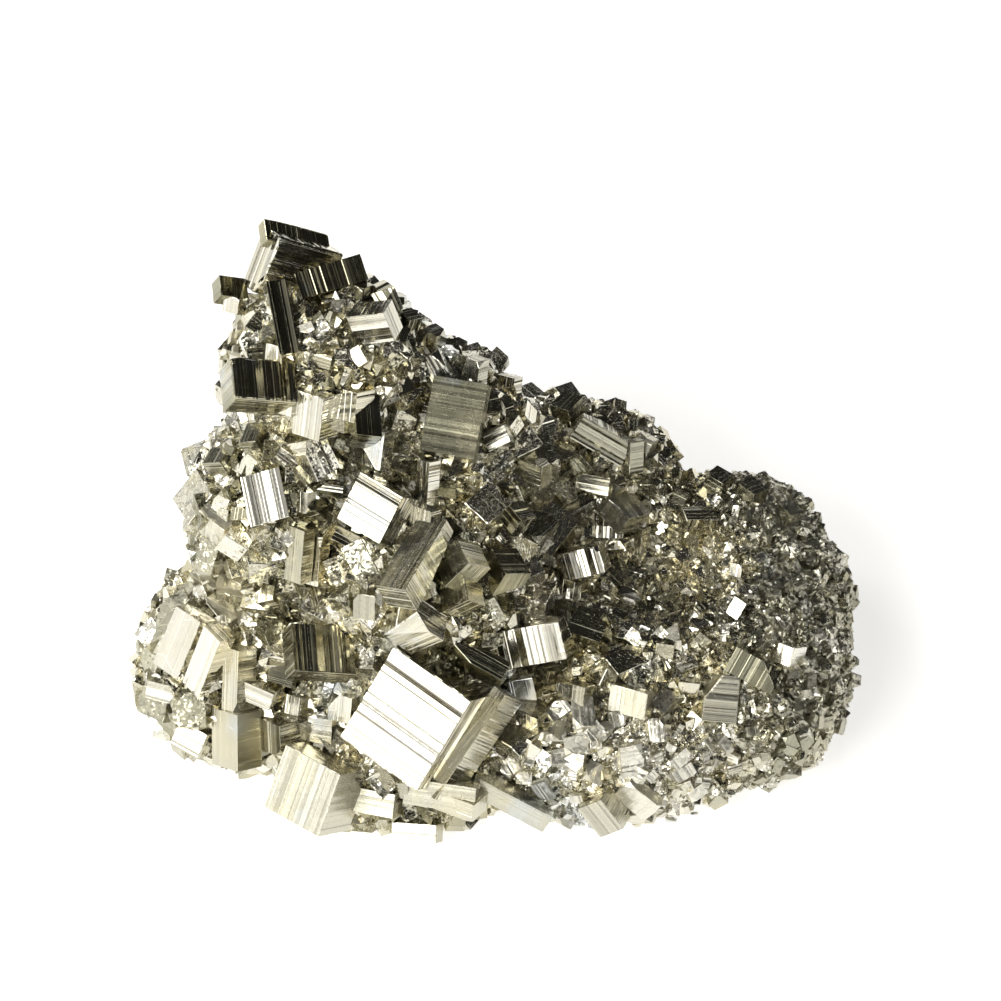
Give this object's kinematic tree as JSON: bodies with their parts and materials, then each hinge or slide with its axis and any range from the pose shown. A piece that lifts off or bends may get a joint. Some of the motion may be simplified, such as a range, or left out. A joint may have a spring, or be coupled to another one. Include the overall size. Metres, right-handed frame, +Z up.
{
  "type": "pyrite specimen",
  "caption": "Cluster of striated metallic cubes and blocks grown on a granular mass, a tower at one side and a low lobe at the other, cut flat below to rest on a shelf.",
  "frame": {"origin": "on the flat cut underneath, near the middle of the specimen", "axes": "+Z up from the cut, +X along the length from the tower to the lobe, -Y towards the display side"},
  "size_m": [0.0711, 0.0503, 0.044],
  "materials": {
    "pyrite": "pale brassy metallic, striated crystal faces"
  },
  "bodies": {
    "root": {"pyrite_cluster": "pyrite"}
  },
  "joints": []
}
